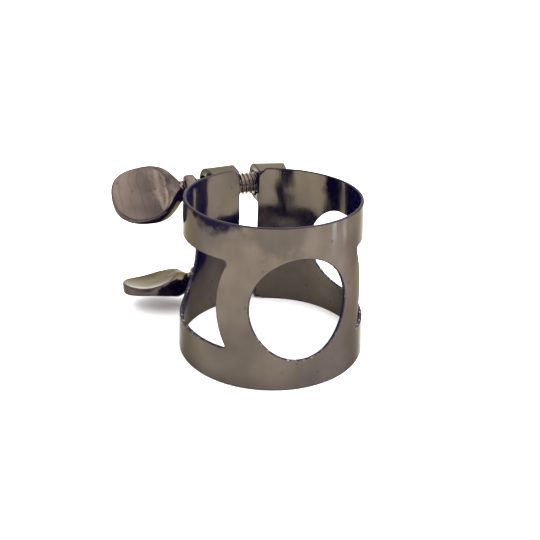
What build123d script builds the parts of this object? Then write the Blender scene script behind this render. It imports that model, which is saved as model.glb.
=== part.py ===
from build123d import *
from math import cos, radians, sin
import os

# An alto saxophone ligature: a slit, slightly conical metal band closed by two thumb screws.
# Millimetres. The origin is on the band's axis in the plane of its wide rim, +Z runs towards the
# narrow rim, the big round window faces -Y, the slit faces +Y and the screw heads are at -X.

# Band
WIDE_RADIUS = 13.5
NARROW_RADIUS = 12.24
BAND_HEIGHT = 22.6
SHEET = 0.45
SLIT_HALF = 1.5
CORNER_CUT = 1.1
WALL_SLOPE = (WIDE_RADIUS - NARROW_RADIUS) / BAND_HEIGHT
WINDOW_HEIGHT = 11.35
WINDOW_HALF_WIDTH = 6.6
WINDOW_HALF_HEIGHT = 7.0

# Side openings, as seen along X
OPENING_LOW = 5.3
OPENING_HIGH = 17.6
OPENING_FRONT_CORNER_Y = -9.21
OPENING_FRONT_MIDDLE_Y = -7.9
OPENING_ROUND_START_Y = 3.68
OPENING_ROUND_DEPTH = 5.26
OPENING_CORNER = 0.5

# Screw posts: a D-shaped section round each screw hole, its foot brazed to the band
POST_RADIUS = 2.8
POST_FOOT_HALF = 2.5
POST_LENGTH = 4.8
POST_TURN = 10.0
POST_SHIFT = 0.2
UPPER_POST = (14.6, 19.6)
LOWER_POST = (15.45, 2.95)
CLEARANCE_HOLE_RADIUS = 1.95
THREADED_HOLE_RADIUS = 1.95

# Screws, measured along each screw's own axis from the middle of the slit
THREAD_RADIUS = 1.7
SHANK_RADIUS = 1.58
SHOULDER_RADIUS = 2.35
SHOULDER_ROUNDING = 0.55
TENON_RADIUS = 0.9
THREAD_TIP = 5.0
THREAD_END = -1.3
TIP_CHAMFER = 0.3
SHOULDER_FRONT = -7.6
SHOULDER_BACK = -9.45
NECK_END = -9.75
NECK_RADIUS = 1.3
TENON_END = -12.1

# Thumb plates: u runs from the neck to the tip, then half widths and the two half thicknesses
PLATE_LENGTH = 10.6
PLATE_HALF_OUTLINE = [(0, 1.3), (1.6, 3.0), (3.3, 4.15), (5.9, 4.7), (8.7, 4.1), (10.1, 2.5)]
PLATE_FACE_SIDE = [(0, 1.35), (1.8, 1.85), (3.9, 1.15), (6.9, 0.6)]
PLATE_BACK_SIDE = [(0, 1.35), (1.8, 1.8), (3.9, 1.1), (6.9, 0.65)]
PLATE_TIP_FACE = 0.85
PLATE_TIP_BACK = 0.9
PLATE_EDGE_ROUNDING = 0.35
PLATE_BLANK = 6.0
SOCKET_DEPTH = 2.6

# Each screw: its axis at the slit as (y, z), its lean in degrees (positive puts the head lower), how
# far it has been screwed in, and how its thumb plate is tipped about the screw
SCREWS = {
    "upper": ((14.6, 19.42), 2.3, 0.0, 39.0),
    "lower": ((15.45, 3.0), -1.6, 0.8, -12.0),
}

# Closing bends the band at its front, so the threaded posts swing about the front line of the wall.
# Their holes are drilled in line with the screws at half closing.
BEND_LINE = Axis((0, SHEET - WIDE_RADIUS, 0), (0, WIDE_RADIUS - NARROW_RADIUS, BAND_HEIGHT))
CLOSING_DEGREES = 3.88

os.makedirs("parts", exist_ok=True)


def screw_plane(level):
    """The upright plane through a screw: x runs along it from head to tip, from the middle of the slit."""
    (y, z), lean, _, _ = SCREWS[level]
    return Plane(origin=(0, y, z), x_dir=(cos(radians(lean)), 0, sin(radians(lean))), z_dir=(0, -1, 0))


def screw_axis(level):
    plane = screw_plane(level)
    return Axis(plane.origin, plane.x_dir)


# Band: the wall is turned, then the slit, the window and the two side openings are cut through it
with BuildPart() as band:
    with BuildSketch(Plane.XZ):
        with BuildLine():
            Polyline(
                (WIDE_RADIUS - SHEET, 0),
                (WIDE_RADIUS, 0),
                (NARROW_RADIUS, BAND_HEIGHT),
                (NARROW_RADIUS - SHEET, BAND_HEIGHT),
                close=True,
            )
        make_face()
    revolve(axis=Axis.Z)
    with BuildSketch(Plane.XZ):
        with BuildLine():
            Polyline(
                (SLIT_HALF + CORNER_CUT, 0),
                (SLIT_HALF, CORNER_CUT),
                (SLIT_HALF, BAND_HEIGHT - CORNER_CUT),
                (SLIT_HALF + CORNER_CUT, BAND_HEIGHT),
                (-SLIT_HALF - CORNER_CUT, BAND_HEIGHT),
                (-SLIT_HALF, BAND_HEIGHT - CORNER_CUT),
                (-SLIT_HALF, CORNER_CUT),
                (-SLIT_HALF - CORNER_CUT, 0),
                close=True,
            )
        make_face()
    extrude(amount=-2 * WIDE_RADIUS, mode=Mode.SUBTRACT)
    with BuildSketch(Plane.XZ):
        with Locations((0, WINDOW_HEIGHT)):
            Ellipse(WINDOW_HALF_WIDTH, WINDOW_HALF_HEIGHT)
    extrude(amount=2 * WIDE_RADIUS, mode=Mode.SUBTRACT)
    middle_height = (OPENING_LOW + OPENING_HIGH) / 2
    half_height = (OPENING_HIGH - OPENING_LOW) / 2
    with BuildSketch(Plane.YZ):
        with BuildLine():
            ThreePointArc(
                (OPENING_FRONT_CORNER_Y, OPENING_HIGH),
                (OPENING_FRONT_MIDDLE_Y, middle_height),
                (OPENING_FRONT_CORNER_Y, OPENING_LOW),
            )
            Line((OPENING_FRONT_CORNER_Y, OPENING_LOW), (OPENING_ROUND_START_Y, OPENING_LOW))
            EllipticalCenterArc(
                (OPENING_ROUND_START_Y, middle_height),
                OPENING_ROUND_DEPTH,
                half_height,
                start_angle=-90,
                arc_size=180,
            )
            Line((OPENING_ROUND_START_Y, OPENING_HIGH), (OPENING_FRONT_CORNER_Y, OPENING_HIGH))
        make_face()
        front_corners = vertices().sort_by(Axis.X)[:2]
        fillet(front_corners, OPENING_CORNER)
    extrude(amount=2 * WIDE_RADIUS, both=True, mode=Mode.SUBTRACT)
band.part.label = "band"
export_step(band.part, "parts/band.step")


def make_drill(level, radius):
    """A long round bar along a screw, for cutting the holes it passes through."""
    axis = screw_axis(level)
    with BuildPart() as drill:
        with BuildSketch(Plane(origin=axis.position, x_dir=(0, 1, 0), z_dir=axis.direction)):
            Circle(radius)
        extrude(amount=3 * POST_LENGTH, both=True)
    return drill.part


def make_post(level, side, hole):
    """One screw post. Side is +1 for the threaded posts at +X and -1 for the clearance posts at -X."""
    y, z = UPPER_POST if level == "upper" else LOWER_POST
    turn = radians(POST_TURN)
    section_plane = Plane(
        origin=(side * SLIT_HALF, y + POST_SHIFT, z),
        x_dir=(side * sin(turn), cos(turn), 0),
        z_dir=(side * cos(turn), -sin(turn), 0),
    )
    foot = -3 * POST_RADIUS
    with BuildPart() as post:
        with BuildSketch(section_plane.offset(-1)):
            with BuildLine():
                Line((foot, -POST_FOOT_HALF), (0, -POST_RADIUS))
                ThreePointArc((0, -POST_RADIUS), (POST_RADIUS, 0), (0, POST_RADIUS))
                Line((0, POST_RADIUS), (foot, POST_FOOT_HALF))
                Line((foot, POST_FOOT_HALF), (foot, -POST_FOOT_HALF))
            make_face()
        extrude(amount=POST_LENGTH + 1)
        split(bisect_by=Plane.YZ.offset(side * SLIT_HALF), keep=Keep.TOP if side > 0 else Keep.BOTTOM)
        with BuildSketch(Plane.XZ):
            with BuildLine():
                Polyline(
                    (0, -1),
                    (WIDE_RADIUS + WALL_SLOPE, -1),
                    (NARROW_RADIUS - WALL_SLOPE, BAND_HEIGHT + 1),
                    (0, BAND_HEIGHT + 1),
                    close=True,
                )
            make_face()
        revolve(axis=Axis.Z, mode=Mode.SUBTRACT)
        add(hole, mode=Mode.SUBTRACT)
    return post.part


def make_screw(level):
    """A turned rod: threaded end, smooth shank, round shoulder and the tenon that fits the thumb plate."""
    _, _, turned_in, _ = SCREWS[level]
    front = SHOULDER_FRONT + turned_in
    back = SHOULDER_BACK + turned_in
    neck = NECK_END + turned_in
    tip = THREAD_TIP + turned_in
    thread_end = THREAD_END + turned_in
    tenon = TENON_END + turned_in
    plane = screw_plane(level)
    with BuildPart() as screw:
        with BuildSketch(plane):
            with BuildLine():
                Polyline(
                    (tenon, 0),
                    (tenon, TENON_RADIUS),
                    (neck, TENON_RADIUS),
                    (neck, NECK_RADIUS),
                    (back, NECK_RADIUS),
                    (back, SHOULDER_RADIUS),
                    (front, SHOULDER_RADIUS),
                    (front, SHANK_RADIUS),
                    (thread_end, SHANK_RADIUS),
                    (thread_end + 0.15, THREAD_RADIUS),
                    (tip - TIP_CHAMFER, THREAD_RADIUS),
                    (tip, THREAD_RADIUS - TIP_CHAMFER),
                    (tip, 0),
                    close=True,
                )
            make_face()
        revolve(axis=screw_axis(level))
        shoulder_rims = screw.edges().filter_by(GeomType.CIRCLE)
        shoulder_rims = shoulder_rims.filter_by(lambda rim: abs(rim.radius - SHOULDER_RADIUS) < 1e-3)
        fillet(shoulder_rims, SHOULDER_ROUNDING)
    return screw.part


def plate_planes(level):
    """Two planes at a plate's neck, x towards its tip: one in the plate, one across its thickness."""
    _, _, turned_in, tip_angle = SCREWS[level]
    plane = screw_plane(level)
    neck = plane.from_local_coords((NECK_END + turned_in, 0, 0))
    outward = -plane.x_dir
    across = Vector(0, cos(radians(tip_angle)), sin(radians(tip_angle)))
    face_up = plane.x_dir.cross(across).normalized()
    flat = Plane(origin=neck, x_dir=outward, z_dir=face_up)
    side = Plane(origin=neck, x_dir=outward, z_dir=outward.cross(face_up))
    return flat, side


def make_plate(level):
    """A thumb plate: egg-shaped, hollowed along its length, thickening to the neck that holds the screw."""
    flat, side = plate_planes(level)
    other_half = [(u, -half) for u, half in reversed(PLATE_HALF_OUTLINE)]
    beyond_tip = PLATE_LENGTH + 1
    with BuildPart() as plate:
        with BuildSketch(flat.offset(-PLATE_BLANK)):
            with BuildLine():
                Spline(*PLATE_HALF_OUTLINE, (PLATE_LENGTH, 0), *other_half, tangents=[(1, 1.3), (-1, 1.3)])
                Line((0, PLATE_HALF_OUTLINE[0][1]), (0, -PLATE_HALF_OUTLINE[0][1]))
            make_face()
        extrude(amount=2 * PLATE_BLANK)
        with BuildSketch(side.offset(-PLATE_BLANK)):
            with BuildLine():
                Spline(*PLATE_FACE_SIDE, (beyond_tip, PLATE_TIP_FACE), tangents=[(1, 0.7), (1, 0.05)])
                Line((beyond_tip, PLATE_TIP_FACE), (beyond_tip, -PLATE_TIP_BACK))
                Spline(
                    *[(u, -half) for u, half in PLATE_BACK_SIDE],
                    (beyond_tip, -PLATE_TIP_BACK),
                    tangents=[(1, -0.6), (1, -0.05)],
                )
                Line((0, PLATE_FACE_SIDE[0][1]), (0, -PLATE_BACK_SIDE[0][1]))
            make_face()
        extrude(amount=2 * PLATE_BLANK, mode=Mode.INTERSECT)
        neck_face = plate.faces().sort_by(Axis(flat.origin, flat.x_dir))[0]
        fillet(plate.edges() - neck_face.edges(), PLATE_EDGE_ROUNDING)
        with BuildSketch(Plane(origin=flat.origin, z_dir=flat.x_dir)):
            Circle(TENON_RADIUS)
        extrude(amount=SOCKET_DEPTH, mode=Mode.SUBTRACT)
    return plate.part


for level in SCREWS:
    clearance_hole = make_drill(level, CLEARANCE_HOLE_RADIUS)
    threaded_hole = make_drill(level, THREADED_HOLE_RADIUS).rotate(BEND_LINE, -CLOSING_DEGREES / 2)
    pieces = {
        "clearance_post": make_post(level, -1, clearance_hole),
        "threaded_post": make_post(level, +1, threaded_hole),
        "screw": make_screw(level),
        "thumb_plate": make_plate(level),
    }
    for kind, piece in pieces.items():
        piece.label = f"{level}_{kind}"
        export_step(piece, f"parts/{level}_{kind}.step")
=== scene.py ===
import math

import bpy
import numpy as np
from mathutils import Matrix, Vector
from mathutils.geometry import delaunay_2d_cdt


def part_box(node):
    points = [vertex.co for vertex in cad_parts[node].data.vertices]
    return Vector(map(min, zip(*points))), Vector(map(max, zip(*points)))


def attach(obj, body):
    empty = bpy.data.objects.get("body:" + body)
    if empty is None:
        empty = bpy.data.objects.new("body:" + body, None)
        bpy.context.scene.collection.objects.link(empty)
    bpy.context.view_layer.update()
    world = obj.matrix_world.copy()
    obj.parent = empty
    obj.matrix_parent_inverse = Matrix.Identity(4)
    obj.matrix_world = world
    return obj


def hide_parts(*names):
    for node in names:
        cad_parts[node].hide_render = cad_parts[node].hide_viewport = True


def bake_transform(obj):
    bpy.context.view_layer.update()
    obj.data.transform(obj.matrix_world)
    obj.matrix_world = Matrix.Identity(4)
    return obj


# The looks of the alto saxophone ligature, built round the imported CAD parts.
# Sizes are in millimetres and become metres where a mesh or an object is made. The frame is the
# CAD's: origin on the band's axis at the wide rim, +Z to the narrow rim, +Y to the slit, the round
# window at -Y and the screw heads at -X.

MM = 0.001

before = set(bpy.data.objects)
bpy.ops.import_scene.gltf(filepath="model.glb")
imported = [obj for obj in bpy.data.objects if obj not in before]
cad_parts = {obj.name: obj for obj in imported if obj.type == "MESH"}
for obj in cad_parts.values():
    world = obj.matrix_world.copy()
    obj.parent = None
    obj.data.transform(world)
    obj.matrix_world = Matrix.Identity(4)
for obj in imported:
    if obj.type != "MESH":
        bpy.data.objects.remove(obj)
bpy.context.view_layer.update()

# ------------------------------------------------------------------ sizes
_, band_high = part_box("band")
WIDE_RADIUS = band_high[0] / MM
BAND_TAPER = 1.26
NARROW_RADIUS = WIDE_RADIUS - BAND_TAPER
BAND_HEIGHT = band_high[2] / MM
MIDDLE_RADIUS = (WIDE_RADIUS + NARROW_RADIUS) / 2
WALL_LEAN = math.atan2(WIDE_RADIUS - NARROW_RADIUS, BAND_HEIGHT)
SHEET = 0.45
SLIT_HALF = 1.5
CORNER_CUT = 1.1
EDGE_ROUND = 0.13
OUTLINE_STEP = 0.25
GRID_STEP = 0.6
WINDOW_HEIGHT = 11.35
WINDOW_HALF_WIDTH = 6.6
WINDOW_HALF_HEIGHT = 7.02
OPENING_LOW = 5.3
OPENING_HIGH = 17.6
OPENING_RING = 11.7
OPENING_REAR_START = 23.95
OPENING_LOW_CORNER = 0.6
OPENING_HIGH_CORNER = 0.95
CORNER_ROUND = 0.22
WAVE_DEPTH = 0.04
WAVE_POSTS_AT = 36.0
WAVE_POSTS_REACH = 4.0

POST_RADIUS = 2.8
POST_FOOT_HALF = 2.7
POST_LENGTH = 4.8
POST_TURN = math.radians(10.0)
POST_SHIFT = 0.2
POST_GAP_END_ROUND = 0.18
POST_OUTER_END_ROUND = 0.12
POST_FOOT_SINK = 0.14
HOLE_BREAK = 0.05
POST_CENTRES = {"upper": (14.6, 19.6), "lower": (15.45, 2.95)}
HOLE_RADII = {"clearance": 1.95, "threaded": 1.95}

THREAD_RADIUS = 1.7
THREAD_DEPTH = 0.34
THREAD_PITCH = 0.6
THREAD_CREST_SHARE = 0.18
THREAD_FLANK_SHARE = 0.62
TIP_BEVEL = 0.35
SHANK_RADIUS = 1.58
SHOULDER_RADIUS = 2.35
SHOULDER_ROUND = 0.6
THREAD_TIP = 5.0
THREAD_END = -1.3
SHOULDER_FRONT = -7.6
SHOULDER_BACK = -9.45
NECK_RADIUS = 1.3
NECK_END = -9.75
BRAZE_REACH = 0.7
BRAZE_SWELLING = 0.24
SCREW_SIDES = 48
SCREW_CAP = 0.02
ROWS_PER_THREAD = 14

PLATE_LENGTH = 10.58
PLATE_WIDEST = 5.9
PLATE_CENTRE = PLATE_WIDEST + 0.3
PLATE_HALF_WIDTH = 4.66
PLATE_NECK_HALF = 1.3
PLATE_NECK_CURVE = 2.24
PLATE_TIP_CURVE = 2.3
PLATE_EDGE_ROUND = 0.3
# Near the neck the plate's section is a rounded bar: how far along, and how much of its width and height
PLATE_ROUND_STRETCH = 4.2
PLATE_ROUND_ACROSS = 0.85
PLATE_ROUND_DOWN = 0.95
PLATE_DISH = 0.22
PLATE_DISH_START = 2.5
PLATE_DISH_FADE = 3.0
PLATE_RING_SHARES = (0.02, 0.08, 0.16, 0.25, 0.35, 0.45, 0.55, 0.64, 0.72, 0.79, 0.85, 0.9, 0.94, 0.97, 1)
PLATE_FACE_SIDE = [(0, 1.35), (1.8, 2.05), (3.9, 1.3), (6.9, 0.6), (11.6, 0.85)]
PLATE_BACK_SIDE = [(0, 1.35), (1.8, 1.8), (3.9, 1.1), (6.9, 0.65), (11.6, 0.9)]

# Each screw: its axis at the slit as (y, z), its lean, how far it is screwed in, its plate's tip
SCREWS = {
    "upper": ((14.6, 19.42), math.radians(2.3), 0.0, math.radians(39.0)),
    "lower": ((15.45, 3.0), math.radians(-1.6), 0.8, math.radians(-12.0)),
}
BEND_START = Vector((0, SHEET - WIDE_RADIUS, 0))
BEND_END = Vector((0, SHEET - NARROW_RADIUS, BAND_HEIGHT))
HALF_CLOSING = math.radians(3.88 / 2)


# ------------------------------------------------------------------ outlines
def resampled(points, step):
    """The closed outline as points about one step apart."""
    corners = np.array(points, float)
    following = np.roll(corners, -1, axis=0)
    lengths = np.linalg.norm(following - corners, axis=1)
    walked = np.concatenate([[0], np.cumsum(lengths)])
    count = max(8, int(round(walked[-1] / step)))
    stops = np.arange(count) * walked[-1] / count
    closed = np.vstack([corners, corners[:1]])
    return np.column_stack([np.interp(stops, walked, closed[:, axis]) for axis in (0, 1)])


def rounded(points, sharp, step=0.05):
    """The closed outline with each sharp corner (point, reach) a small curve that starts reach away."""
    dense = resampled(points, step)
    keep = np.ones(len(dense), bool)
    for corner, reach in sharp:
        keep &= np.linalg.norm(dense - np.array(corner), axis=1) > reach
    corners = [np.array(corner) for corner, _ in sharp]
    result = []
    for index, point in enumerate(dense):
        if not keep[index]:
            continue
        result.append(point)
        if keep[(index + 1) % len(dense)]:
            continue
        ahead = index + 1
        while not keep[ahead % len(dense)]:
            ahead += 1
        last = dense[ahead % len(dense)]
        between = (point + last) / 2
        corner = min(corners, key=lambda place: np.linalg.norm(between - place))
        for share in (0.2, 0.4, 0.6, 0.8):
            result.append(
                (1 - share) ** 2 * point + 2 * share * (1 - share) * corner + share**2 * last
            )
    return result


def outward_normals(outline):
    """Unit normals on the right-hand side of the way round, which is away from the metal."""
    along = np.roll(outline, -1, axis=0) - np.roll(outline, 1, axis=0)
    along /= np.linalg.norm(along, axis=1)[:, None]
    return np.column_stack([along[:, 1], -along[:, 0]])


def inside(outline, points):
    """Which of the points lie inside the closed outline."""
    x, y = points[:, 0], points[:, 1]
    result = np.zeros(len(points), bool)
    for (x0, y0), (x1, y1) in zip(outline, np.roll(outline, -1, axis=0)):
        if y0 == y1:
            continue
        crosses = (y0 > y) != (y1 > y)
        result ^= crosses & (x < (x1 - x0) * (y - y0) / (y1 - y0) + x0)
    return result


# ------------------------------------------------------------------ meshes
def add_mesh(name, points, faces, materials, normals=None, weighted=False, second_from=None):
    """A smooth mesh object from points in millimetres. Faces from second_from on take material two."""
    mesh = bpy.data.meshes.new(name)
    mesh.from_pydata([tuple(MM * float(value) for value in point) for point in points], [], faces)
    mesh.polygons.foreach_set("use_smooth", [True] * len(mesh.polygons))
    for material in materials:
        mesh.materials.append(material)
    if second_from is not None:
        numbers = [int(index >= second_from) for index in range(len(mesh.polygons))]
        mesh.polygons.foreach_set("material_index", numbers)
    if normals is not None:
        mesh.normals_split_custom_set_from_vertices([tuple(map(float, normal)) for normal in normals])
    piece = bpy.data.objects.new(name, mesh)
    bpy.context.scene.collection.objects.link(piece)
    if weighted:
        piece.modifiers.new("weighted_normals", "WEIGHTED_NORMAL")
    return piece


def bridge(first, second):
    """Quads between two rings of point numbers."""
    count = len(first)
    return [
        (first[i], first[(i + 1) % count], second[(i + 1) % count], second[i]) for i in range(count)
    ]


def numbered_rings(rings, count):
    """The point numbers of so many rings that follow each other, count points in each."""
    return [list(range(index * count, (index + 1) * count)) for index in range(rings)]


# ------------------------------------------------------------------ band
def wall_radius(z):
    return WIDE_RADIUS + (NARROW_RADIUS - WIDE_RADIUS) * z / BAND_HEIGHT


def slit_edge(z, half_width):
    """How far round the flat sheet the slit's edge lies."""
    return MIDDLE_RADIUS * (math.pi - math.asin(half_width / wall_radius(z)))


def sheet_outline():
    wide_cut = SLIT_HALF + CORNER_CUT
    heights = np.linspace(CORNER_CUT, BAND_HEIGHT - CORNER_CUT, 12)
    right = [(slit_edge(z, SLIT_HALF), z) for z in heights]
    left = [(-u, z) for u, z in reversed(right)]
    bottom_corner = (slit_edge(0, wide_cut), 0)
    top_corner = (slit_edge(BAND_HEIGHT, wide_cut), BAND_HEIGHT)
    sharp = [bottom_corner, right[0], right[-1], top_corner]
    sharp += [(-u, z) for u, z in sharp]
    outline = [(-bottom_corner[0], 0), bottom_corner, *right, top_corner]
    outline += [(-top_corner[0], BAND_HEIGHT), *left]
    return resampled(rounded(outline, [(corner, CORNER_ROUND) for corner in sharp]), OUTLINE_STEP)


def window_outline():
    outline = []
    for turn in np.linspace(0, -2 * math.pi, 180, endpoint=False):
        z = WINDOW_HEIGHT + WINDOW_HALF_HEIGHT * math.sin(turn)
        x = WINDOW_HALF_WIDTH * math.cos(turn)
        outline.append((MIDDLE_RADIUS * math.asin(x / wall_radius(z)), z))
    return resampled(outline, OUTLINE_STEP)


def opening_outline(side):
    """A side opening: its front edge is concentric with the window, its rear end is a half circle."""
    middle = (OPENING_LOW + OPENING_HIGH) / 2
    half = (OPENING_HIGH - OPENING_LOW) / 2
    reach = math.asin(half / OPENING_RING)
    outline = []
    for angle in np.linspace(-reach, reach, 40):
        outline.append((OPENING_RING * math.cos(angle), middle + OPENING_RING * math.sin(angle)))
    sharp = [(outline[0], OPENING_LOW_CORNER), (outline[-1], OPENING_HIGH_CORNER)]
    for angle in np.linspace(math.pi / 2, -math.pi / 2, 48):
        outline.append((OPENING_REAR_START + half * math.cos(angle), middle + half * math.sin(angle)))
    if side < 0:
        outline = [(-u, z) for u, z in reversed(outline)]
        sharp = [((-u, z), reach) for (u, z), reach in sharp]
    return resampled(rounded(outline, sharp), OUTLINE_STEP)


def wave(u, z):
    """How far the rolled sheet lies inside a true cone: long shallow unevenness left by the rolling."""
    long_way = math.sin(0.75 * u + 0.9 * math.sin(0.42 * z) + 0.4)
    tall_way = math.sin(0.62 * z - 0.31 * u + 1.3)
    small = math.sin(1.45 * u + 0.5 * z) * math.sin(1.1 * z - 0.6 * u)
    near_posts = math.exp(-(((abs(u) - WAVE_POSTS_AT) / WAVE_POSTS_REACH) ** 2))
    ripple = math.sin(1.3 * z + 0.9 * math.sin(0.8 * u)) + math.sin(1.1 * u - 0.5 * z)
    buckle = near_posts * (2 + ripple) / 4
    return WAVE_DEPTH * ((3 + long_way + tall_way + small) / 6 + 2 * buckle)


def on_wall(flat, depth):
    """A flat-sheet point as a point of the rolled wall, that far in from its outer face."""
    angle = flat[0] / MIDDLE_RADIUS
    radius = wall_radius(flat[1]) - depth - wave(flat[0], flat[1])
    return (radius * math.sin(angle), -radius * math.cos(angle), flat[1])


def wall_direction(flat, across, up, out):
    """A direction given round the sheet, up it and out of it, as a unit vector."""
    angle = flat[0] / MIDDLE_RADIUS
    round_way = Vector((math.cos(angle), math.sin(angle), 0))
    out_way = Vector(
        (
            math.sin(angle) * math.cos(WALL_LEAN),
            -math.cos(angle) * math.cos(WALL_LEAN),
            math.sin(WALL_LEAN),
        )
    )
    up_way = round_way.cross(-out_way)
    u, z = flat
    small = 0.05
    slope_round = (wave(u + small, z) - wave(u - small, z)) / (2 * small)
    slope_up = (wave(u, z + small) - wave(u, z - small)) / (2 * small)
    out_way = (out_way + round_way * slope_round + up_way * slope_up).normalized()
    return (round_way * across + up_way * up + out_way * out).normalized()


def in_metal(inset, points):
    """Which flat points lie on the sheet and in none of its openings."""
    result = inside(inset[0], points)
    for hole in inset[1:]:
        result &= ~inside(hole, points)
    return result


def inner_grid(inset):
    """Evenly spaced flat points on the sheet, none of them close to a cut edge."""
    edge_points = np.vstack(inset)
    half_length = slit_edge(0, SLIT_HALF)
    across = np.arange(-half_length, half_length, GRID_STEP)
    upward = np.arange(GRID_STEP / 2, BAND_HEIGHT, GRID_STEP)
    grid = np.array([(u, z) for u in across for z in upward])
    grid = grid[in_metal(inset, grid)]
    nearest = np.array([np.min(np.sum((edge_points - point) ** 2, axis=1)) for point in grid])
    return grid[nearest > (0.55 * GRID_STEP) ** 2]


def flat_triangles(inset):
    """The flat sheet as points and triangles, and each outline as a ring of those points' numbers."""
    flat = np.vstack([*inset, inner_grid(inset)])
    edges = []
    rings = []
    start = 0
    for outline in inset:
        ring = list(range(start, start + len(outline)))
        edges += [(ring[i], ring[(i + 1) % len(ring)]) for i in range(len(ring))]
        rings.append(ring)
        start += len(outline)
    flat_points = [Vector((float(u), float(z))) for u, z in flat]
    made, _, triangles, sources, _, _ = delaunay_2d_cdt(flat_points, edges, [], 0, 1e-6)
    made = np.array([tuple(point) for point in made])
    made_from = {source: index for index, group in enumerate(sources) for source in group}
    rings = [[made_from[index] for index in ring] for ring in rings]
    centres = np.array([made[list(triangle)].mean(axis=0) for triangle in triangles])
    triangles = [tuple(triangle) for triangle, good in zip(triangles, in_metal(inset, centres)) if good]
    return made, triangles, rings


def edge_stations():
    """The rounded cut edge as (distance back from the outline, depth, share facing outward)."""
    slant = math.sqrt(0.5)
    corner = EDGE_ROUND * (1 - slant)
    return [
        (corner, corner, slant),
        (0, EDGE_ROUND, 0),
        (0, SHEET - EDGE_ROUND, 0),
        (corner, SHEET - corner, -slant),
    ]


def build_band(sheet_material, cut_material):
    """One continuous sheet with rounded cut edges, the same points inside and out."""
    outlines = [sheet_outline(), window_outline(), opening_outline(1), opening_outline(-1)]
    normals_2d = [outward_normals(outline) for outline in outlines]
    inset = [outline - EDGE_ROUND * normal for outline, normal in zip(outlines, normals_2d)]
    made, triangles, rings = flat_triangles(inset)

    count = len(made)
    points = [on_wall(point, 0) for point in made] + [on_wall(point, SHEET) for point in made]
    normals = [wall_direction(point, 0, 0, 1) for point in made]
    normals += [wall_direction(point, 0, 0, -1) for point in made]
    faces = list(triangles)
    faces += [(a + count, c + count, b + count) for a, b, c in triangles]

    sheet_faces = len(faces)
    for outline, normal, ring in zip(outlines, normals_2d, rings):
        previous = ring
        for back, depth, out in edge_stations():
            start = len(points)
            side = math.sqrt(1 - out * out)
            for point, (across_way, up_way) in zip(outline - back * normal, normal):
                points.append(on_wall(point, depth))
                normals.append(wall_direction(point, side * across_way, side * up_way, out))
            here = list(range(start, start + len(outline)))
            faces += bridge(here, previous)
            previous = here
        inner_ring = [number + count for number in ring]
        faces += bridge(inner_ring, previous)
    materials = [sheet_material, cut_material]
    return add_mesh("band_sheet", points, faces, materials, normals, second_from=sheet_faces)


# ------------------------------------------------------------------ screws and posts
def screw_line(level):
    """A point on the screw's axis, at the slit, and the way from its head to its tip."""
    (y, z), lean, _, _ = SCREWS[level]
    return Vector((0, y, z)), Vector((math.cos(lean), 0, math.sin(lean)))


def bore_line(level, kind):
    """The axis of a post's hole. A threaded one is in line with its screw at half closing."""
    point, way = screw_line(level)
    if kind == "threaded":
        swing = Matrix.Rotation(-HALF_CLOSING, 3, BEND_END - BEND_START)
        point = BEND_START + swing @ (point - BEND_START)
        way = swing @ way
    return point, way


def post_ring(centre, outward, slant, inset):
    """A ring of the D section, drawn in by inset, its foot laid just inside the band's outer face."""
    radius = POST_RADIUS - inset
    foot_half = POST_FOOT_HALF - inset

    def foot(upward):
        wall = wall_radius(centre.z + upward) - POST_FOOT_SINK
        here = Vector((centre.x, centre.y))
        way = Vector((outward.x, outward.y))
        middle = here.dot(way)
        return -middle + math.sqrt(middle**2 - here.length_squared + wall**2)

    section = []
    for share in np.linspace(0, 1, 6):
        section.append((foot(-foot_half) * (1 - share), -foot_half - (radius - foot_half) * share))
    for angle in np.radians(np.linspace(-90, 90, 41)[1:]):
        section.append((radius * math.cos(angle), radius * math.sin(angle)))
    for share in np.linspace(0, 1, 6)[1:]:
        section.append((foot(foot_half) * share, radius - (radius - foot_half) * share))
    for share in np.linspace(0, 1, 10)[1:-1]:
        upward = foot_half * (1 - 2 * share)
        section.append((foot(upward), upward))
    return [centre + outward * out + Vector((0, 0, up)) + slant * out for out, up in section]


def post_stations():
    """Places along a post as (share of its length, shift, inset), with its two ends rounded."""
    ends = []
    for share, round_size in ((0, POST_GAP_END_ROUND), (1, POST_OUTER_END_ROUND)):
        end = []
        for angle in np.radians([0, 22, 45, 68, 90]):
            inset = round_size * (1 - math.sin(angle))
            end.append((share, round_size * (1 - math.cos(angle)), inset))
        end.append((share, round_size + 0.06, 0))
        ends.append(end)
    middle = [(share, 0, 0) for share in (0.25, 0.5, 0.75)]
    far_end = [(share, -shift, inset) for share, shift, inset in reversed(ends[1])]
    return ends[0] + middle + far_end


def hole_ring(rim, bore, radius, depth):
    """A ring round the bore, each point in line with the matching point of the end face's rim."""
    point, way = bore
    across = (rim[0] - rim[10]).cross(rim[20] - rim[10]).normalized()
    middle = point + way * ((rim[0] - point).dot(across) / way.dot(across))
    return [middle + (corner - middle).normalized() * radius + way * depth for corner in rim]


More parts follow.
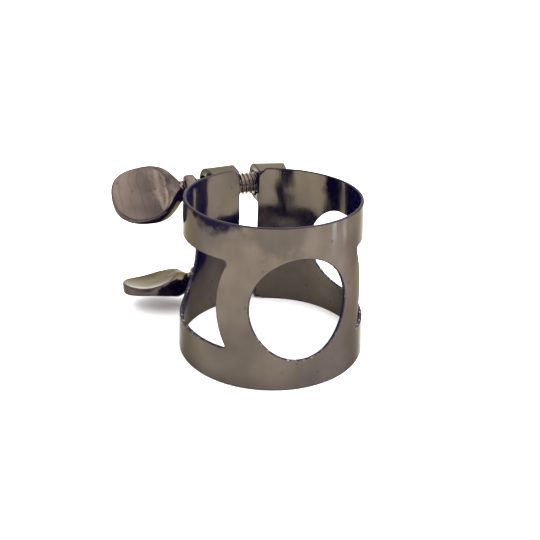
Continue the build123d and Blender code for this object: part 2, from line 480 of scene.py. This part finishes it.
def build_post(level, kind, material):
    """A post: a D section swept along the band's tangent, with rounded ends and the screw hole."""
    side = 1 if kind == "threaded" else -1
    y, z = POST_CENTRES[level]
    start = Vector((side * SLIT_HALF, y + POST_SHIFT, z))
    outward = Vector((side * math.sin(POST_TURN), math.cos(POST_TURN), 0))
    along = Vector((side * math.cos(POST_TURN), -math.sin(POST_TURN), 0))
    rings = []
    for share, shift, inset in post_stations():
        slant = along * (-math.tan(POST_TURN) * (1 - share))
        rings.append(post_ring(start + along * (POST_LENGTH * share + shift), outward, slant, inset))
    bore = bore_line(level, kind)
    radius = HOLE_RADII[kind]
    rings += [
        hole_ring(rings[-1], bore, radius + HOLE_BREAK, 0),
        hole_ring(rings[-1], bore, radius, -side * HOLE_BREAK),
        hole_ring(rings[0], bore, radius, side * HOLE_BREAK),
        hole_ring(rings[0], bore, radius + HOLE_BREAK, 0),
    ]
    points = [point for ring in rings for point in ring]
    numbers = numbered_rings(len(rings), len(rings[0]))
    faces = []
    for first, second in zip(numbers, numbers[1:] + numbers[:1]):
        faces += bridge(first, second) if side > 0 else bridge(second, first)
    return add_mesh(f"{level}_{kind}_post_body", points, faces, [material], weighted=True)


def thread_radius(place, angle, thread_end, tip):
    """The screw's radius on its threaded stretch: a right-hand V thread that fades in from the shank."""
    phase = (place / THREAD_PITCH - angle / (2 * math.pi)) % 1
    from_crest = abs(phase - 0.5) * 2
    depth = THREAD_DEPTH * min(max((from_crest - THREAD_CREST_SHARE) / THREAD_FLANK_SHARE, 0), 1)
    fade = min(max((place - thread_end) / THREAD_PITCH, 0), 1)
    radius = SHANK_RADIUS + fade * (THREAD_RADIUS - depth - SHANK_RADIUS)
    return min(radius, THREAD_RADIUS - (place - tip + TIP_BEVEL))


def braze_radius(share, turn):
    """The lumpy brazed joint round the neck, which runs a little way onto the plate."""
    swelling = BRAZE_SWELLING * math.sqrt(math.sin(math.pi * share))
    lumps = 0.06 * math.sin(3 * turn + 4 * share) + 0.045 * math.sin(7 * turn - 9 * share + 1)
    return NECK_RADIUS + swelling + lumps


def turned_profile(back, front, thread_end):
    """The shoulder with its rounded corners and the plain shank, as (place, radius)."""
    profile = [(back, SHOULDER_RADIUS - SHOULDER_ROUND)]
    for angle in np.radians([15, 30, 45, 60, 75, 90]):
        inset = SHOULDER_ROUND * (1 - math.sin(angle))
        profile.append((back + SHOULDER_ROUND * (1 - math.cos(angle)), SHOULDER_RADIUS - inset))
    for angle in np.radians([90, 75, 60, 45, 30, 15, 0]):
        inset = SHOULDER_ROUND * (1 - math.sin(angle))
        profile.append((front - SHOULDER_ROUND * (1 - math.cos(angle)), SHOULDER_RADIUS - inset))
    for forward, wider in ((0, 0.12), (0.04, 0.04), (0.12, 0), (0.2, 0)):
        profile.append((front + forward, SHANK_RADIUS + wider))
    profile.append((thread_end - 0.02, SHANK_RADIUS))
    return profile


def build_screw(level, turned_material, thread_material):
    """The turned rod: shoulder, shank and helical thread, as rings along its own axis."""
    _, _, turned_in, _ = SCREWS[level]
    back, front = SHOULDER_BACK + turned_in, SHOULDER_FRONT + turned_in
    joint_start = NECK_END + turned_in - BRAZE_REACH
    thread_end, tip = THREAD_END + turned_in, THREAD_TIP + turned_in
    turns = [2 * math.pi * index / SCREW_SIDES for index in range(SCREW_SIDES)]
    rings = [(joint_start, [SCREW_CAP] * SCREW_SIDES)]
    for share in np.linspace(0, 1, 9):
        place = joint_start + (back - joint_start) * share
        rings.append((place, [braze_radius(share, turn) for turn in turns]))
    for place, radius in turned_profile(back, front, thread_end):
        rings.append((place, [radius] * SCREW_SIDES))
    thread_faces = (len(rings) - 1) * SCREW_SIDES
    rows = int(round((tip - thread_end) / THREAD_PITCH * ROWS_PER_THREAD))
    for row in range(rows + 1):
        place = thread_end + (tip - thread_end) * row / rows
        rings.append((place, [thread_radius(place, turn, thread_end, tip) for turn in turns]))
    rings.append((tip, [SCREW_CAP] * SCREW_SIDES))

    origin, way = screw_line(level)
    across = Vector((0, 1, 0))
    up = way.cross(across)
    points = []
    for place, radii in rings:
        for turn, radius in zip(turns, radii):
            points.append(origin + way * place + (across * math.cos(turn) + up * math.sin(turn)) * radius)
    numbers = numbered_rings(len(rings), SCREW_SIDES)
    faces = []
    for first, second in zip(numbers, numbers[1:]):
        faces += bridge(first, second)
    faces.append(tuple(reversed(numbers[0])))
    faces.append(tuple(numbers[-1]))
    materials = [turned_material, thread_material]
    return add_mesh(f"{level}_screw_rod", points, faces, materials, weighted=True, second_from=thread_faces)


# ------------------------------------------------------------------ thumb plates
def height_along(points, place):
    """A smooth curve through the (place, height) points."""
    places = [point[0] for point in points]
    heights = [point[1] for point in points]
    slopes = np.gradient(heights, places)
    index = min(max(int(np.searchsorted(places, place)) - 1, 0), len(points) - 2)
    width = places[index + 1] - places[index]
    share = min(max((place - places[index]) / width, 0), 1)
    straight = heights[index] * (1 + 2 * share) * (1 - share) ** 2
    straight += heights[index + 1] * share**2 * (3 - 2 * share)
    bend = slopes[index] * share * (1 - share) ** 2 - slopes[index + 1] * share**2 * (1 - share)
    return straight + width * bend


def plate_half_width(place):
    """An egg shape: full and round towards the tip, narrowing in a gentle curve to the neck."""
    if place < PLATE_WIDEST:
        share = 1 - (1 - place / PLATE_WIDEST) ** PLATE_NECK_CURVE
        return PLATE_NECK_HALF + (PLATE_HALF_WIDTH - PLATE_NECK_HALF) * share
    share = min((place - PLATE_WIDEST) / (PLATE_LENGTH - PLATE_WIDEST), 1)
    return PLATE_HALF_WIDTH * (1 - share**PLATE_TIP_CURVE) ** (1 / PLATE_TIP_CURVE)


def dish_depth(place, width):
    """How far the face is hollowed: deepest at its centre, nothing at its edge and near the neck."""
    reach = PLATE_LENGTH - PLATE_CENTRE if place > PLATE_CENTRE else PLATE_CENTRE
    along = (place - PLATE_CENTRE) / (reach - PLATE_EDGE_ROUND)
    across = width / (PLATE_HALF_WIDTH - PLATE_EDGE_ROUND)
    ring = min(math.hypot(along, across), 1)
    fade = min(max((place - PLATE_DISH_START) / PLATE_DISH_FADE, 0), 1)
    return PLATE_DISH * (1 - ring**3) * fade


def plate_outline():
    """The plate's outline from above, as (distance from the neck, distance off its centre line)."""
    tip_run = PLATE_LENGTH - PLATE_WIDEST
    places = list(np.linspace(0, PLATE_WIDEST, 30))
    places += [PLATE_WIDEST + tip_run * math.sin(turn) for turn in np.linspace(0, math.pi / 2, 60)[1:]]
    half = [(place, plate_half_width(place)) for place in places]
    right = [(place, -width) for place, width in half]
    left = [(place, width) for place, width in reversed(half[:-1])]
    sharp = [((0, -PLATE_NECK_HALF), 0.5), ((0, PLATE_NECK_HALF), 0.5)]
    return resampled(rounded(right + left, sharp), 0.2)


def build_plate(level, material):
    """A thumb plate as rings shrinking from its outline to its middle, on the face and on the back."""
    _, _, turned_in, tip_angle = SCREWS[level]
    origin, way = screw_line(level)
    neck = origin + way * (NECK_END + turned_in)
    across = Vector((0, math.cos(tip_angle), math.sin(tip_angle)))
    face_up = way.cross(across).normalized()
    across = face_up.cross(way)

    outline = plate_outline()
    normals = outward_normals(outline)
    middle = np.array([PLATE_CENTRE, 0])
    roundness = np.clip(1 - outline[:, 0] / PLATE_ROUND_STRETCH, 0, 1) ** 1.3
    full_reach = PLATE_ROUND_ACROSS * np.abs(outline[:, 1])
    edge_reach = PLATE_EDGE_ROUND + (full_reach - PLATE_EDGE_ROUND) * roundness
    inner = outline - edge_reach[:, None] * normals

    points = []
    rings = 0
    for side, profile in ((1, PLATE_FACE_SIDE), (-1, PLATE_BACK_SIDE)):
        stations = [(share, 90) for share in PLATE_RING_SHARES]
        stations += [(1, degrees) for degrees in (72, 54, 36, 18, 0)]
        for share, degrees in stations[::side]:
            turn = math.radians(degrees)
            flat = middle + (inner - middle) * share
            flat = flat + (edge_reach * math.cos(turn))[:, None] * normals * (share == 1)
            for (place, width), softness in zip(flat, roundness):
                height = height_along(profile, max(place, 0))
                if side > 0:
                    height -= dish_depth(place, width)
                edge_drop = PLATE_EDGE_ROUND + (PLATE_ROUND_DOWN * height - PLATE_EDGE_ROUND) * softness
                height -= edge_drop * (1 - math.sin(turn))
                points.append(neck - way * place + across * width + face_up * (side * height))
            rings += 1
    numbers = numbered_rings(rings, len(outline))
    faces = []
    for first, second in zip(numbers, numbers[1:]):
        faces += bridge(first, second)
    faces.append(tuple(reversed(numbers[0])))
    faces.append(tuple(numbers[-1]))
    return add_mesh(f"{level}_thumb_plate_body", points, faces, [material])


# ------------------------------------------------------------------ materials
EDGE_TINT = (0.5, 0.49, 0.43, 1)
HAZE_TINT = (0.1, 0.12, 1.0, 1)
HAZE_WEIGHT = 0.024
HAZE_ROUGHNESS = 0.9
# Near-black colour of the painted dark reflections on the band and plates
PAINTED_DARK_REFLECTION_COLOR = (0.004, 0.003, 0.004, 1)
BARE_COLOR = (0.26, 0.215, 0.18, 1)

# Patterns in the plating, as (repeats in a metre, detail)
CLOUDS = (130, 3)
BROAD_CLOUDS = (45, 1)
STREAKS = (700, 4)
# Ragged edges of the painted dark reflections
PAINTED_DARK_REFLECTION_EDGES = (500, 2)
CHIPS = (2600, 3)
POLISH = (420, 4)
RUBBING = (3400, 3)
FINE_RIDGES = (2600, 2)
SPECKS = 520
PITS = 900
SCRATCHES = 210
BUMP_DEPTH = 0.01 * MM

# A pattern's scale along each axis. A streak is drawn out along one axis, which also sets the way
# the scratches are spaced.
EVENLY = (1, 1, 1)
STREAK_STRETCH = 0.06
SCRATCH_SPACING_ALONG = {0: "Z", 1: "X", 2: "DIAGONAL"}

# The cut edges are chipped only low down, where the band is handled
CHIPPED_BELOW = 13 * MM
CHIPS_FADE = 3 * MM

# Painted dark reflections on the polished metal: the middle of each patch, how far it reaches in x, y and
# z, its strength
BAND_PAINTED_DARK_REFLECTIONS = (
    ((-10.4, -6.6, 22.8), (4.2, 4.6, 3.0), 1.0),
    ((-8.3, -9.0, 23.0), (3.4, 3.2, 1.9), 0.9),
    ((-11.7, -3.6, 23.0), (1.6, 3.6, 1.5), 1.0),
    ((-9.6, -8.8, 17.0), (1.1, 1.1, 0.9), 1.0),
    ((-3.5, -12.4, 22.4), (7.5, 6.0, 5.5), 0.3),
    ((-1.4, 11.5, 14.4), (3.4, 1.6, 3.2), 0.9),
    ((10.4, 4.3, 20.8), (1.6, 3.8, 4.6), 1.0),
)
# Painted dark reflections on the thumb plates
PLATE_PAINTED_DARK_REFLECTIONS = (
    ((-10.4, 14.6, 19.2), (3.8, 5.0, 5.0), 0.65),
    ((-15.0, 15.5, 3.5), (10.0, 9.0, 5.0), 0.3),
)


class MetalNodes:
    """The shader nodes of one metal. Each method adds nodes and gives back their result."""

    def __init__(self, tree, streak_axis, seed):
        self.tree = tree
        self.seed = seed
        self.scratch_spacing = SCRATCH_SPACING_ALONG[streak_axis]
        self.streaky = [1.0, 1.0, 1.0]
        self.streaky[streak_axis] = STREAK_STRETCH
        self.coordinates = tree.nodes.new("ShaderNodeTexCoord").outputs["Object"]

    def give(self, socket, value):
        if isinstance(value, bpy.types.NodeSocket):
            self.tree.links.new(value, socket)
        else:
            socket.default_value = value

    def add(self, kind, **inputs):
        node = self.tree.nodes.new(kind)
        for socket, value in inputs.items():
            self.give(node.inputs[socket.replace("_", " ")], value)
        return node

    def spread(self, value, from_low, from_high, low, high):
        limits = {"From_Min": from_low, "From_Max": from_high, "To_Min": low, "To_Max": high}
        return self.add("ShaderNodeMapRange", Value=value, **limits).outputs["Result"]

    def noise(self, stretch, pattern, low, high):
        shift = (self.seed, 0.7 * self.seed, 0.3 * self.seed)
        moved = self.add("ShaderNodeMapping", Vector=self.coordinates, Scale=stretch, Location=shift)
        scale, detail = pattern
        texture = self.add("ShaderNodeTexNoise", Vector=moved.outputs["Vector"], Scale=scale, Detail=detail)
        return self.spread(texture.outputs["Fac"], 0.36, 0.64, low, high)

    def cells(self, scale):
        return self.add("ShaderNodeTexVoronoi", Vector=self.coordinates, Scale=scale).outputs["Distance"]

    def lines(self, scale):
        settings = {"Scale": scale, "Distortion": 6, "Detail": 2, "Phase_Offset": self.seed}
        wave_texture = self.add("ShaderNodeTexWave", Vector=self.coordinates, **settings)
        wave_texture.bands_direction = self.scratch_spacing
        return wave_texture.outputs["Fac"]

    def nearness(self, centre, reach):
        """1 at the centre, falling to 0 at the reach along each axis."""
        scale = [1 / (MM * size) for size in reach]
        shift = [-place / size for place, size in zip(centre, reach)]
        near = self.add("ShaderNodeMapping", Vector=self.coordinates, Scale=scale, Location=shift)
        ball = self.add("ShaderNodeTexGradient", Vector=near.outputs["Vector"])
        ball.gradient_type = "SPHERICAL"
        return ball.outputs["Fac"]

    def combined(self, operation, first, second):
        node = self.tree.nodes.new("ShaderNodeMath")
        node.operation = operation
        self.give(node.inputs[0], first)
        self.give(node.inputs[1], second)
        return node.outputs["Value"]

    def blended(self, factor, first, second):
        node = self.tree.nodes.new("ShaderNodeMix")
        node.data_type = "RGBA"
        self.give(node.inputs["Factor"], factor)
        self.give(node.inputs["A"], first)
        self.give(node.inputs["B"], second)
        return node.outputs["Result"]


def chip_factor(nodes, chipping):
    """Small chips in the plating, fading out above the height where the band is handled."""
    scale, detail = CHIPS
    texture = nodes.add("ShaderNodeTexNoise", Vector=nodes.coordinates, Scale=scale, Detail=detail)
    chips = nodes.spread(texture.outputs["Fac"], 0.57, 0.66, 0, 1)
    upward = nodes.add("ShaderNodeSeparateXYZ", Vector=nodes.coordinates).outputs["Z"]
    handled = nodes.spread(upward, CHIPPED_BELOW - CHIPS_FADE, CHIPPED_BELOW, chipping, 0)
    return nodes.combined("MULTIPLY", chips, handled)


def plated_color(nodes, color, scratching, chipping, painted_dark_reflections):
    """The plating's colour: cloudy tint, specks, painted dark reflections, fine scratches and chips."""

    def shade(share):
        return (color[0] * share, color[1] * share, color[2] * share * 1.06, 1)

    plated = nodes.blended(nodes.noise(EVENLY, CLOUDS, 0, 1), shade(1.2), shade(0.7))
    plated = nodes.blended(nodes.noise(EVENLY, BROAD_CLOUDS, 0, 0.5), plated, shade(0.66))
    plated = nodes.blended(nodes.noise(nodes.streaky, STREAKS, 0, 0.18), plated, shade(0.6))
    specks = nodes.spread(nodes.cells(SPECKS), 0.06, 0.15, 0.6, 0)
    plated = nodes.blended(specks, plated, shade(0.35))
    # Painted dark reflections: near-black patches standing in for dark things the polished metal mirrors
    for centre, reach, strength in painted_dark_reflections:
        edges = nodes.noise(EVENLY, PAINTED_DARK_REFLECTION_EDGES, -0.1, 0.2)
        ragged = nodes.combined("ADD", nodes.nearness(centre, reach), edges)
        plated = nodes.blended(nodes.spread(ragged, 0.3, 0.6, 0, strength), plated, PAINTED_DARK_REFLECTION_COLOR)
    scratches = nodes.spread(nodes.lines(SCRATCHES), 0.94, 1.0, 0, scratching)
    plated = nodes.blended(scratches, plated, shade(0.55))
    if chipping:
        plated = nodes.blended(chip_factor(nodes, chipping), plated, BARE_COLOR)
    return plated


def black_nickel(name, color, roughness, streak_axis, seed, scratching=0.05, chipping=0, painted_dark_reflections=()):
    """Polished black nickel with an uneven polish, small pits and a faint blue haze."""
    material = bpy.data.materials.new(name)
    material.use_nodes = True
    shader = material.node_tree.nodes["Principled BSDF"]
    nodes = MetalNodes(material.node_tree, streak_axis, seed)

    nodes.give(shader.inputs["Base Color"], plated_color(nodes, color, scratching, chipping, painted_dark_reflections))

    polish = nodes.noise(EVENLY, POLISH, roughness * 0.75, roughness * 1.25)
    rubbed = nodes.noise(nodes.streaky, RUBBING, -0.02, 0.03)
    nodes.give(shader.inputs["Roughness"], nodes.combined("ADD", polish, rubbed))

    pits = nodes.spread(nodes.cells(PITS), 0, 0.06, 0, 1)
    height = nodes.combined("MULTIPLY", nodes.noise(nodes.streaky, FINE_RIDGES, 0, 1), pits)
    bump = nodes.add("ShaderNodeBump", Strength=0.12, Distance=BUMP_DEPTH, Height=height)
    nodes.give(shader.inputs["Normal"], bump.outputs["Normal"])

    shader.inputs["Metallic"].default_value = 1.0
    shader.inputs["Specular Tint"].default_value = EDGE_TINT
    shader.inputs["Sheen Weight"].default_value = HAZE_WEIGHT
    shader.inputs["Sheen Roughness"].default_value = HAZE_ROUGHNESS
    shader.inputs["Sheen Tint"].default_value = HAZE_TINT
    return material


ALONG_X, ALONG_Y, ALONG_Z = 0, 1, 2
band_metal = black_nickel(
    "black_nickel_band", (0.071, 0.058, 0.038), 0.13, ALONG_Z, 0.0, scratching=0.03, painted_dark_reflections=BAND_PAINTED_DARK_REFLECTIONS
)
# Cut edges: a darker copy of the band metal, painted dark reflection on the rims; the chips to bare brass
# are real wear
cut_metal = black_nickel(
    "black_nickel_cut_edges", (0.022, 0.020, 0.022), 0.24, ALONG_Z, 1.7, scratching=0, chipping=0.6
)
post_metal = black_nickel("black_nickel_posts", (0.047, 0.041, 0.033), 0.14, ALONG_X, 3.1)
screw_metal = black_nickel("black_nickel_screws", (0.080, 0.064, 0.049), 0.12, ALONG_Y, 5.3)
# Threads: a lighter copy of the screw metal, painted highlight standing in for the brighter reflections on
# the crests
thread_metal = black_nickel("black_nickel_threads", (0.19, 0.155, 0.125), 0.16, ALONG_Y, 5.3)
plate_metal = black_nickel(
    "black_nickel_plates", (0.062, 0.048, 0.034), 0.12, ALONG_Y, 7.7, scratching=0.5, painted_dark_reflections=PLATE_PAINTED_DARK_REFLECTIONS
)


# ------------------------------------------------------------------ camera
CAMERA_PLACE = Vector((-29.065, -88.610, 55.420)) * MM
CAMERA_TARGET = Vector((-0.248, 0.081, 11.299)) * MM
CAMERA_ROLL = math.radians(1.365)
SENSOR_WIDTH = 36
LENS = 48.39


def add_camera():
    data = bpy.data.cameras.new("camera")
    data.sensor_width = SENSOR_WIDTH
    data.lens = LENS
    data.clip_start = 0.005
    camera = bpy.data.objects.new("camera", data)
    bpy.context.scene.collection.objects.link(camera)
    facing = (CAMERA_TARGET - CAMERA_PLACE).to_track_quat("-Z", "Y").to_matrix().to_4x4()
    roll = Matrix.Rotation(CAMERA_ROLL, 4, "Z")
    camera.matrix_world = Matrix.Translation(CAMERA_PLACE) @ facing @ roll
    bpy.context.scene.camera = camera


add_camera()

# ------------------------------------------------------------------ pieces
band = build_band(band_metal, cut_metal)
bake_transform(band)
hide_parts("band")

for level in SCREWS:
    for kind, body in (("clearance", "hoop"), ("threaded", "threaded_side")):
        post = build_post(level, kind, post_metal)
        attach(post, body)
        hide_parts(f"{level}_{kind}_post")
    rod = build_screw(level, screw_metal, thread_metal)
    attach(rod, f"{level}_screw")
    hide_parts(f"{level}_screw")
    plate = build_plate(level, plate_metal)
    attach(plate, f"{level}_screw")
    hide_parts(f"{level}_thumb_plate")


# ------------------------------------------------------------------ floor and light
FLOOR_HALF = 4000
FLOOR_COLOR = (0.95, 0.95, 0.95, 1)
FLOOR_ROUGHNESS = 0.9

# The room's brightness on the -X and +X sides, and the patch of it that is dark
ROOM_COLOR = (1.0, 0.985, 0.97, 1)
ROOM_DIM_SIDE = 1.7
ROOM_BRIGHT_SIDE = 6.0
DARK_PATCH_WAY = (-0.3, -0.86, 0.42)
DARK_PATCH_EDGES = (0.86, 0.97)
DARK_PATCH_SHARE = 0.12


def add_floor():
    material = bpy.data.materials.new("pale_floor")
    material.use_nodes = True
    shader = material.node_tree.nodes["Principled BSDF"]
    shader.inputs["Base Color"].default_value = FLOOR_COLOR
    shader.inputs["Roughness"].default_value = FLOOR_ROUGHNESS
    corners = [(x * FLOOR_HALF, y * FLOOR_HALF, 0) for x, y in ((-1, -1), (1, -1), (1, 1), (-1, 1))]
    floor = add_mesh("floor", corners, [(0, 1, 2, 3)], [material])


def add_room():
    """A pale room, brighter towards +X, with one soft dark patch."""
    world = bpy.data.worlds.new("studio")
    world.use_nodes = True
    tree = world.node_tree
    background = tree.nodes["Background"]
    direction = tree.nodes.new("ShaderNodeTexCoord").outputs["Generated"]

    def towards(way):
        product = tree.nodes.new("ShaderNodeVectorMath")
        product.operation = "DOT_PRODUCT"
        product.inputs[1].default_value = Vector(way).normalized()
        tree.links.new(direction, product.inputs[0])
        return product.outputs["Value"]

    def eased(value, low, high, at_low, at_high):
        node = tree.nodes.new("ShaderNodeMapRange")
        node.interpolation_type = "SMOOTHSTEP"
        for socket, number in zip(list(node.inputs)[1:5], (low, high, at_low, at_high)):
            socket.default_value = number
        tree.links.new(value, node.inputs["Value"])
        return node.outputs["Result"]

    across_room = eased(towards((1, 0, 0)), -1.0, 1.0, ROOM_DIM_SIDE, ROOM_BRIGHT_SIDE)
    dark_patch = eased(towards(DARK_PATCH_WAY), *DARK_PATCH_EDGES, 1.0, DARK_PATCH_SHARE)
    brightness = tree.nodes.new("ShaderNodeMath")
    brightness.operation = "MULTIPLY"
    tree.links.new(across_room, brightness.inputs[0])
    tree.links.new(dark_patch, brightness.inputs[1])
    tree.links.new(brightness.outputs["Value"], background.inputs["Strength"])
    background.inputs["Color"].default_value = ROOM_COLOR
    bpy.context.scene.world = world


def add_light(name, place, target, width, height, power, color):
    """A rectangular soft light facing its target."""
    data = bpy.data.lights.new(name, "AREA")
    data.shape = "RECTANGLE"
    data.size = width * MM
    data.size_y = height * MM
    data.energy = power
    data.color = color
    light = bpy.data.objects.new(name, data)
    bpy.context.scene.collection.objects.link(light)
    light.location = Vector(place) * MM
    light.rotation_euler = (Vector(target) - Vector(place)).to_track_quat("-Z", "Y").to_euler()
    light.visible_camera = False


add_floor()
add_room()
add_light("top_strip", (-225, -90, 365), (0, 0, 11), 320, 65, 0.26, (1.0, 0.97, 0.96))
add_light("low_strip", (62, -20, 3), (12, -4, 18), 6, 16, 0.0011, (0.65, 0.7, 1.0))
add_light("low_glow", (60, -41, 3), (10, -7, 18), 8, 16, 0.0024, (0.5, 0.64, 1.0))
bpy.context.scene.view_settings.view_transform = "Standard"
